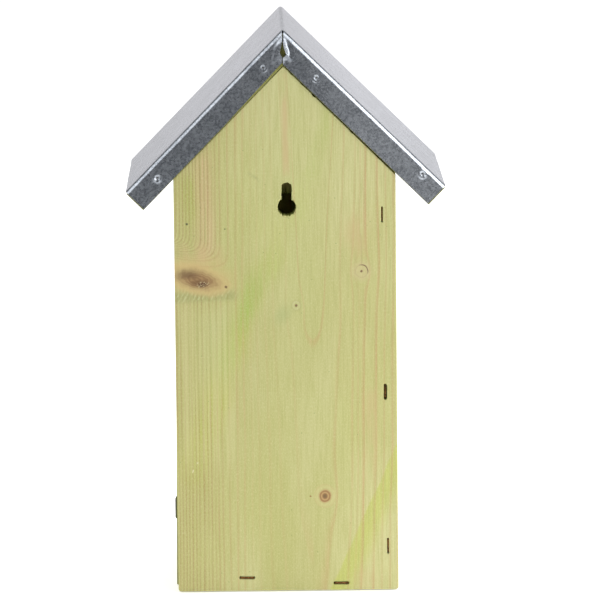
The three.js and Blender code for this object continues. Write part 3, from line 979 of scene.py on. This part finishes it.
def ring_lines(paint):
    """How dark the late wood is at each place of the back panel."""
    x = paint.x + paint.wander((0.05, 0.05, 0.012, 1), 1.3)
    x = x + paint.wander((0.5, 0.3, 0.035, 2), 0.22)
    x = swept_above_big_knot(paint, x)
    x = flow_past(paint, x, "small", 2.8, 0.45)
    x = flow_past(paint, x, "cracked", 3.6, 0.5)
    x = flow_past(paint, x, "lower", 5.2, 0.42)
    off = x - CENTRE_LINE
    rise = (RING_HEIGHT - paint.z) * RING_TAPER
    rise = rise - paint.fade(paint.z, 130.0, 146.0) * 17.0
    rise = rise + paint.fade(paint.z, 150.0, 215.0) * 17.0
    door_rise = rise * paint.fall(off, 14.0, 34.0)
    square = off * off
    door_side = line_profile(paint, paint.root(square + door_rise), DOOR_SIDE_LINES)
    fixed_side = line_profile(paint, paint.root(square + rise), FIXED_SIDE_LINES)
    sides = {0: paint.fade(off, -0.4, 0.4), 2: fixed_side, 3: door_side}
    lines = paint.result("ShaderNodeMix", sides, data_type="FLOAT")
    patchy = paint.cloud((0.09, 0.1, 0.02, 3), 2.0, 0.25, 0.6, 0.45, 1.0)
    pale_below = paint.band((44, 156), (42, 104), 12.0, 9.0)
    patchy = patchy * (1.0 - pale_below * 0.55)
    return lines * patchy


def stains(paint):
    """Green soaked in from the treatment: drifts, a diagonal stroke and a wedge at the lower corner."""
    x = paint.x + paint.wander((0.12, 0.1, 0.035, 4), 4.5, 3.0)
    z = paint.z
    broad = paint.cloud((0.022, 0.02, 0.009, 5), 3.0, 0.42, 0.68)
    paint.lay(broad * 0.3, (184, 190, 116))
    fibres = paint.cloud((0.9, 0.5, 0.06, 6), 3.0, 0.3, 0.65, 0.35, 1.0)
    strokes = (
        ((-25, 272), (-14, 226), 3.5, 6.0, 0.35, (172, 190, 98)),
        ((-13, 226), (-6, 200), 5.0, 8.0, 0.3, (182, 192, 104)),
        ((6, 186), (26, 146), 6.5, 10.0, 0.5, (172, 188, 94)),
        ((15, 172), (35, 120), 4.0, 8.0, 0.65, (154, 178, 80)),
        ((26, 146), (52, 62), 7.5, 10.0, 0.55, (180, 184, 88)),
        ((10, 208), (4, 176), 9.0, 12.0, 0.3, (186, 190, 104)),
        ((50, 203), (53, 228), 4.0, 7.0, 0.6, (168, 180, 84)),
        ((40, 156), (36, 118), 9.0, 12.0, 0.5, (176, 186, 124)),
        ((-3, 144), (8, 20), 14.0, 18.0, 0.25, (184, 186, 116)),
    )
    for stroke in strokes:
        paint.brush(*stroke, fibres, x)
    straight = paint.x + paint.wander((0.1, 0.1, 0.05, 7), 1.2, 2.0)
    edge = -26.5 + (z - 8.0) * -0.46 - straight
    wedge = paint.between(edge, -0.6, 0.8, 5.0, 17.0)
    wedge = wedge * paint.fall(z, 80.0, 112.0)
    paint.lay(wedge * 0.75, (190, 196, 100))


def big_knot(paint):
    """The large knot at the door side: tan halo, brown rings round a cracked core."""
    far = knot_distance(paint, "big", 0.22)
    halo = paint.fall(far, 1.05, 1.75)
    tail = paint.band((60, 172), (30, 171), 5.5, 7.0)
    halo = paint.largest(halo, tail * 0.85)
    paint.lay(halo * 0.75, (203, 178, 124))
    paint.brush((64, 181), (34, 180), 3.0, 6.0, 0.3, (206, 176, 122))
    core = paint.fall(far, 0.35, 1.3)
    waves = far * 30.0 + paint.wander((0.25, 0.2, 0.4, 8), 3.2, 2.0)
    rings = paint.fade(paint.math("SINE", waves), -0.6, 0.9)
    brown = paint.mix(rings, (140, 108, 74), (158, 128, 88))
    upper = paint.fade(paint.x, 44.0, 52.0) * paint.fade(paint.z, 170.5, 174.0)
    brown = paint.mix(upper * 0.8, brown, (102, 74, 54))
    paint.lay(core * 0.92, brown)
    dusk = paint.length((paint.x - 46.6) / 6.5, (paint.z - 169.6) / 2.6)
    paint.lay(paint.fall(dusk, 0.2, 1.2, 0.7), (112, 82, 58))
    centre = paint.length((paint.x - 44.8) / 3.6, (paint.z - 168.8) / 1.8)
    centre = centre + paint.wander((0.7, 0.5, 0.7, 9), 0.6, 3.0)
    paint.lay(paint.fall(centre, 0.4, 1.1, 0.75), (98, 74, 58))
    crack = paint.fall(centre, 0.9, 1.2) * paint.cloud((1.1, 1, 2.2, 10), 2.0, 0.56, 0.62)
    paint.lay(crack * 0.8, (214, 200, 150))
    return core


def comb_below_knot(paint):
    """Pale fibres and grey-green shade under the big knot, where the wood was torn by the planer."""
    x = paint.x + paint.wander((0.3, 0.1, 0.3, 11), 0.8)
    zone = paint.band((62, 161.5), (27, 163.0), 2.6, 4.0)
    slanted = x + paint.z * 0.55
    teeth = paint.fade(paint.math("SINE", slanted * 2.6), -0.2, 0.9)
    teeth = teeth * paint.cloud((0.6, 0.5, 0.4, 12), 2.0, 0.35, 0.6)
    paint.lay(zone * 0.6, (152, 152, 98))
    paint.lay(zone * teeth * 0.5, (200, 204, 154))
    stripes = paint.cloud((0.62, 0.5, 0.006, 13), 1.0, 0.4, 0.6)
    paint.brush((44, 160), (44, 70), 17.0, 12.0, 0.3, (212, 208, 156), stripes)


def small_knots(paint):
    """The three small knots, each with its own core and surround."""
    far = knot_distance(paint, "small", 0.16)
    ring = paint.between(far, 0.55, 0.8, 0.95, 1.35)
    paint.lay(ring * 0.3, (204, 200, 160))
    dark_rim = paint.between(far, 1.0, 1.2, 1.25, 1.7)
    paint.lay(dark_rim * 0.22, (158, 156, 100))
    paint.lay(paint.fall(far, 0.2, 0.5, 0.85), (118, 84, 66))
    paint.brush((-1, 156), (4, 148), 3.5, 5.0, 0.3, (148, 164, 106))

    far = knot_distance(paint, "cracked", 0.14)
    paint.lay(paint.fall(far, 0.9, 2.2, 0.4), (208, 190, 148))
    arc_line = paint.between(far, 0.84, 0.95, 0.98, 1.12)
    at_upper_side = paint.fade(-41.5 - paint.x + (paint.z - 175.3), 0.5, 4.0)
    paint.lay(arc_line * at_upper_side * 0.95, (96, 60, 50))
    paint.lay(arc_line * 0.3, (176, 150, 116))
    paint.lay(paint.fall(far, 0.12, 0.3, 0.9), (110, 72, 60))
    paint.brush((-41.0, 196), (-41.2, 179), 0.2, 0.5, 0.35, (156, 124, 92))

    far = knot_distance(paint, "lower", 0.1)
    paint.lay(paint.fall(far, 1.3, 1.9, 0.35), (206, 196, 142))
    waves = paint.fade(paint.math("SINE", far * 15.0), -0.5, 0.8)
    brown = paint.mix(waves, (158, 120, 82), (184, 152, 104))
    paint.lay(paint.fall(far, 0.75, 1.15, 0.95), brown)
    paint.lay(paint.fall(far, 0.12, 0.42, 0.8), (106, 84, 62))
    outer = paint.between(far, 1.45, 1.55, 1.6, 1.75)
    paint.lay(outer * 0.16, (196, 160, 116))


def specks(paint):
    """Small resin and dirt marks at their places, and fine dark points anywhere."""
    marks = (
        (32.2, 167.4, 0.8, (110, 84, 60)),
        (-12.5, 52.0, 0.55, (150, 112, 66)),
        (32.5, 199.0, 0.45, (96, 108, 66)),
        (53.0, 201.9, 0.7, (60, 66, 56)),
    )
    for x, z, radius, tone in marks:
        far = paint.length(paint.x - x, paint.z - z) / radius
        far = far + paint.wander((1.0 / radius, 1, 1.0 / radius, x), 0.5, 2.0)
        paint.lay(paint.fall(far, 0.5, 1.3, 0.85), tone)
    smeared = paint.cloud((0.5, 0.5, 0.4, 20), 3.0, 0.35, 0.6)
    paint.brush((19.0, 229.0), (14.0, 225.0), 0.6, 2.6, 0.6, (150, 154, 104), smeared)
    points = paint.fade(paint.cells((0.17, 0.1, 0.13, 14)), 0.03, 0.055, 0.65, 0.0)
    paint.lay(points, (120, 142, 74))


def pink_streak(paint):
    """Reddish heartwood above the big knot, under its ring lines."""
    fibres = paint.cloud((0.5, 0.2, 0.02, 15), 2.0, 0.3, 0.6, 0.4, 1.0)
    paint.brush((44, 240), (42, 184), 4.5, 7.0, 0.75, (206, 180, 138), fibres)


def scuffs(paint):
    """Two pale nicks by the door side and worn, pinkish patches."""
    for x, z, reach in ((51.5, 66.5, 0.8), (49.0, 71.0, 0.4)):
        paint.brush((x, z - reach), (x - 0.5, z + reach), 0.35, 0.4, 0.6, (222, 218, 182))
    worn = paint.cloud((0.2, 0.2, 0.05, 15), 3.0, 0.3, 0.6)
    for start, end, width, strength in (
        ((-39, 205), (-39, 186), 6.0, 0.45),
        ((-46, 110), (-45, 60), 3.0, 0.35),
        ((-44, 4), (-38, 8), 4.5, 0.4),
        ((0, 284), (-1, 228), 1.6, 0.6),
        ((55, 186), (34, 184), 5.0, 0.5),
    ):
        paint.brush(start, end, width, width * 1.6, strength, (204, 176, 132), worn)


def edges_of_back_panel(paint):
    """Sawn edges and hole walls are darker and greener than the two planed faces."""
    outer_face = BACK[HIGH].y / MM
    inner_face = BACK[LOW].y / MM
    under_outer = paint.fade(paint.y, outer_face - 0.25, outer_face - 0.8)
    under_inner = paint.fade(paint.y, inner_face + 0.25, inner_face + 0.8)
    streaks = paint.noise((0.25, 0.9, 0.03, 16), 4.0, 0.6)
    green = paint.mix(paint.fade(streaks, 0.3, 0.7), (136, 144, 72), (186, 188, 118))
    paint.lay(under_outer * under_inner * 0.85, green)


def back_panel_pine():
    """Planed, treated pine as the back panel's one board shows it."""
    paint = Paint("back_panel_pine")
    lines = ring_lines(paint)
    tone = paint.cloud((0.03, 0.05, 0.008, 17), 2.0, 0.3, 0.7)
    paint.colour = paint.mix(tone, (194, 192, 128), (208, 205, 150))
    door_side = paint.fade(paint.x, 18.0, 50.0)
    # Painted shade, not the wood's own colour: the next three layers darken the board towards the door side
    # and towards its bottom, where less light falls on it.
    paint.lay(door_side * 0.5, (190, 184, 122))
    painted_shade_low = paint.fade(paint.z, 235.0, 130.0) * paint.fade(paint.x, -50.0, -5.0, 0.3, 1.0)
    paint.lay(painted_shade_low * 0.11, (112, 108, 62))
    paint.lay(paint.fade(paint.x, -50.0, 30.0, 0.0, 0.07), (100, 104, 58))
    stains(paint)
    pink_streak(paint)
    late = paint.mix(door_side, (190, 150, 104), (156, 124, 76))
    paint.lay(lines * 0.95, late)
    fibre = paint.noise((1.5, 1.0, 0.05, 18), 4.0, 0.65)
    paint.lay(paint.fade(fibre, 0.35, 0.75, 0.0, 0.5), (164, 164, 92))
    grain = paint.noise((2.3, 2.0, 0.9, 19), 3.0, 0.65)
    paint.lay(paint.fade(grain, 0.4, 0.75, 0.0, 0.3), (226, 222, 178))
    comb_below_knot(paint)
    core = big_knot(paint)
    small_knots(paint)
    scuffs(paint)
    specks(paint)
    edges_of_back_panel(paint)
    height = lines * 0.6 + (fibre * 0.8 + core * 0.5)
    normal = paint.bump(height, 0.5, 0.12)
    normal = paint.bump(grain, 0.35, 0.05, normal)
    roughness = 0.62 + (fibre * 0.16 + lines * -0.1)
    return paint.surface(roughness, normal, specular=0.25)


# ---- the other boards' pine


RING_PROFILE = ((0.0, 0.1), (0.35, 0.05), (0.8, 0.55), (0.93, 1.0), (0.97, 0.2), (1.0, 0.1))
RING_SPACING = 4.4


def board_pine(name, grain, across, seed, pale, dark, sawn=0.0, ends=None):
    """Treated pine with its rings round a pith beyond the board. Grain and across name its axes."""

    def spot(wide, long, number):
        """A place squeezed one way along the grain and another way across it."""
        return (*[long if axis == grain else wide for axis in "xyz"], seed + number)

    paint = Paint(name)
    axes = {"x": paint.x, "y": paint.y, "z": paint.z}
    depth_axis = next(axis for axis in "xyz" if axis not in (grain, across))
    shift = 9.0 * math.sin(seed * 2.3)
    slide = paint.wander(spot(0.03, 0.006, 0), 5.0)
    from_middle = axes[across] - shift + slide
    depth = axes[depth_axis] + (46.0 + 6.0 * seed)
    far = paint.length(from_middle, depth) + axes[grain] * 0.03
    lines = paint.profile(paint.math("FRACT", far / RING_SPACING), 0.0, 1.0, RING_PROFILE)
    fibre = paint.noise(spot(1.6, 0.032, 3), 4.0, 0.6)
    paint.colour = paint.mix(paint.cloud(spot(0.05, 0.015, 5), 3.0, 0.3, 0.7), pale, dark)
    paint.lay(lines * 0.6, (186, 152, 100))
    paint.lay(paint.fade(fibre, 0.4, 0.75, 0.0, 0.35), (150, 154, 84))
    knot = paint.fall(paint.cells(spot(0.022, 0.012, 7)), 0.035, 0.075)
    paint.lay(knot * 0.85, (132, 98, 64))
    # Darker ends along Y, partly the end grain's own colour and partly painted shade: the shade under the
    # sheet's flange and in the gap at the door's edge.
    if ends is not None:
        low, high = ends
        half = (high - low) / 2
        off = paint.math("ABSOLUTE", paint.y - (low + high) / 2)
        paint.lay(paint.fade(off, half - 0.7, half - 0.3) * 0.8, (116, 116, 58))
    rough_saw = paint.noise(spot(0.5, 1.8, 9), 3.0, 0.65)
    height = fibre + (lines * 0.4 + rough_saw * sawn)
    normal = paint.bump(height, 0.55, 0.15 + 0.15 * sawn)
    return paint.surface(0.64 + fibre * 0.2, normal, specular=0.25)


# ---- metal


def galvanised():
    """Zinc on thin steel: dull grey, finely spangled, with light scratches, and painted light and shade: the
    fixed side's half paler than the door side's.
    """
    paint = Paint("galvanised_sheet")
    spangle = paint.cells((1.15, 1.15, 1.15, 1), "Color")
    flake = paint.result("ShaderNodeSeparateColor", {0: spangle})
    fine = paint.noise((2.6, 2.6, 2.6, 2), 3.0, 0.65)
    cloud = paint.noise((0.11, 0.07, 0.11, 3), 4.0, 0.6)
    tone = flake * 0.3 + (fine * 0.4 + cloud * 0.5)
    tone = paint.fade(tone, 0.3, 0.85)
    # Painted light and shade: the fixed side's half of the sheet gets a paler zinc than the door side's, as
    # it is lit more from the fixed side.
    door_side = paint.mix(tone, (112, 117, 124), (164, 169, 176))
    fixed_side = paint.mix(tone, (144, 149, 156), (196, 201, 208))
    paint.colour = paint.mix(paint.fade(paint.x, 4.0, -46.0), door_side, fixed_side)
    scratch = paint.fade(paint.noise((1.9, 0.4, 0.06, 4), 2.0, 0.6), 0.66, 0.72)
    scratch = scratch * paint.band((20, 285), (9, 268), 7.0, 6.0)
    paint.lay(scratch * 0.6, (206, 210, 216))
    roughness = 0.2 + (fine * 0.1 + flake * 0.05)
    normal = paint.bump(fine + flake * 0.3, 0.3, 0.03)
    return paint.surface(roughness, normal, metallic=1.0)


def rusty_wire():
    """Lacquered staple wire, browned where damp wood has held it."""
    paint = Paint("staple_wire")
    mottle = paint.noise((1.1, 1.1, 1.1, 5), 4.0, 0.65)
    paint.colour = paint.mix(paint.fade(mottle, 0.35, 0.65), (150, 108, 58), (86, 60, 38))
    normal = paint.bump(mottle, 0.5, 0.05)
    return paint.surface(paint.fade(mottle, 0.3, 0.7, 0.45, 0.75), normal, metallic=0.75)


def zinc_wire(name, dark, pale, dull):
    """Zinc on nails and hook, with the roughness of its brightest parts."""
    paint = Paint(name)
    mottle = paint.noise((1.7, 1.7, 1.7, 6), 4.0, 0.6)
    paint.colour = paint.mix(paint.fade(mottle, 0.3, 0.7), dark, pale)
    normal = paint.bump(mottle, 0.4, 0.03)
    return paint.surface(paint.fade(mottle, 0.3, 0.7, dull, dull + 0.17), normal, metallic=1.0)


def floor_white():
    """Matt white with a faint glow of its own, so that the floor and the sky meet unseen."""
    paint = Paint("studio_floor")
    cloud = paint.noise((0.002, 0.002, 0.002))
    paint.colour = paint.mix(cloud, (248, 248, 248), (252, 252, 252))
    return paint.surface(0.9, specular=0.1, glow=0.32)


# ---- the whole box


def boards():
    """The wooden pieces, each on its own body."""
    back = gable_panel("back_panel", "back", keyhole_outline(), 3)
    fit(back, "box", "panel_pine", back_panel_pine(), "back_panel")
    # The splinter's pine is green from the treatment, and its darkness is painted shade of the box's inside.
    splinter = board_pine("splinter_pine_painted_shade", "z", "x", 1.6, (112, 118, 42), (76, 84, 28), 0.6)
    fit(keyhole_splinter(), "box", "panel_pine", splinter)
    planed = ((202, 200, 142), (188, 190, 122), 0.0)
    sawn = ((190, 190, 118), (170, 178, 98), 0.8)
    front = gable_panel("front_panel", "front", entrance_outline(), 13)
    fit(front, "box", "panel_pine", board_pine("front_panel_pine", "z", "x", 1.0, *planed), "front_panel")
    for node, body, grain, across, seed in (
        ("fixed_side", "box", "z", "y", 2.0),
        ("floor_board", "box", "x", "y", 3.0),
        ("side_door", "door", "z", "y", 4.0),
        ("roof_board_door_side", "box", "y", "x", 5.0),
        ("roof_board_fixed_side", "box", "y", "x", 6.0),
    ):
        roof = node.startswith("roof")
        # Roof boards and the door get darkened ends: end grain and painted shade.
        ends = [corner.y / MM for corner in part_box(node)] if roof or body == "door" else None
        paint = board_pine(node + "_pine", grain, across, seed, *(sawn if roof else planed), ends)
        fit(eased_board(node, leaning=roof), body, "roof_pine" if roof else "panel_pine", paint, node)


def wires_and_nails():
    """Staples, brads, pins and the hook, and a finish for the staples hidden under the sheet."""
    rusty = rusty_wire()
    zinc = zinc_wire("bright_zinc", (96, 98, 100), (150, 152, 154), 0.28)
    staples = staple_tree()
    nail = nail_tree()
    for end, outward in ENDS:
        grow("staples_" + end, staples, panel_staples(end, outward), "staple_wire", rusty)
        grow("brads_" + end, nail, brads(end, outward), "bright_wire", zinc)
    pin = {"Head": 2.2 * MM, "Dome": 0.5 * MM, "Shank": 1.6 * MM, "Length": 30 * MM}
    grow("pivot_pins", nail, pivot_pins(), "bright_wire", zinc, **pin)
    # The hook's zinc is painted dark, as painted shade, so that it reads as the shaded gap at the door's
    # edge.
    latch_hook(zinc_wire("dark_zinc_painted_shade", (58, 58, 50), (96, 96, 86), 0.45))
    for node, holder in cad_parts.items():
        if node.startswith(("staple_roof", "staple_ridge")):
            holder.data.materials.clear()
            holder.data.materials.append(rusty)


def studio():
    """A white floor, a soft even sky, brighter to the lens, and large soft lights all round."""
    mesh = bpy.data.meshes.new("floor")
    far = 14.0
    near = 0.6                             # the floor ends on the camera's side of the box, out of view
    corners = [(-far, -far, 0), (far, -far, 0), (far, near, 0), (-far, near, 0)]
    mesh.from_pydata(corners, [], [(0, 1, 2, 3)])
    floor = show("floor", mesh)
    floor.location.z = -0.0006
    floor.data.materials.append(floor_white())
    world = bpy.data.worlds.new("soft_white")
    bpy.context.scene.world = world
    world.use_nodes = True
    sky = world.node_tree.nodes["Background"]
    seen = world.node_tree.nodes.new("ShaderNodeLightPath").outputs["Is Camera Ray"]
    strength = world.node_tree.nodes.new("ShaderNodeMapRange")
    world.node_tree.links.new(seen, strength.inputs["Value"])
    strength.inputs["To Min"].default_value = 0.36
    strength.inputs["To Max"].default_value = 1.1
    world.node_tree.links.new(strength.outputs[0], sky.inputs["Strength"])
    sky.inputs["Color"].default_value = (1, 1, 1, 1)
    for name, place, width, height, power in (
        ("key", (-1.5, 2.2, 2.4), 1.4, 1.4, 14.5),
        ("fill", (2.4, 2.0, 1.2), 2.0, 2.0, 4.0),
        ("top", (0.2, -0.8, 3.2), 2.6, 2.6, 62.0),
        ("behind", (0.0, -4.2, 0.65), 2.6, 1.0, 6.3),
        ("left_side", (2.1, 0.4, 1.7), 1.9, 1.9, 24.0),
        ("right_side", (-2.1, 0.4, 1.7), 1.9, 1.9, 38.0),
        ("right_low", (-2.3, 0.5, 0.4), 1.1, 1.1, 18.0),
    ):
        light = bpy.data.lights.new(name, "AREA")
        light.shape = "RECTANGLE"
        light.size = width
        light.size_y = height
        light.energy = power
        light.color = (0.985, 0.96, 1.0) if name == "behind" else (1.0, 1.0, 1.0)
        lamp = show(name, light)
        lamp.location = place
        lamp.rotation_euler = (Vector((0, 0, BOX_MIDDLE)) - lamp.location).to_track_quat("-Z", "Y").to_euler()
    bpy.context.scene.view_settings.view_transform = "Standard"


CAMERA_PLACE = (0.0211, 2.8332, 0.5453)
CAMERA_TURNS = (-0.6, 7.96, -0.556)        # to the side, down and about the line of sight, in degrees
CAMERA_LENS = 308.5


def camera():
    """A long lens at the back, a little above the box and very slightly rolled."""
    yaw, pitch, roll = [math.radians(turn) for turn in CAMERA_TURNS]
    ahead = Vector((math.sin(yaw) * math.cos(pitch), -math.cos(yaw) * math.cos(pitch), -math.sin(pitch)))
    right = Vector((-math.cos(yaw), -math.sin(yaw), 0))
    up = right.cross(ahead)
    local_x = math.cos(roll) * right + math.sin(roll) * up
    local_y = -math.sin(roll) * right + math.cos(roll) * up
    lens = bpy.data.cameras.new("back_view")
    lens.lens = CAMERA_LENS
    lens.sensor_width = 36
    lens.clip_end = 60
    eye = show("back_view", lens)
    turn = Matrix((local_x, local_y, -ahead)).transposed()
    eye.matrix_world = Matrix.Translation(CAMERA_PLACE) @ turn.to_4x4()
    bpy.context.scene.camera = eye


studio()
camera()
boards()
roof_sheet(galvanised())
wires_and_nails()
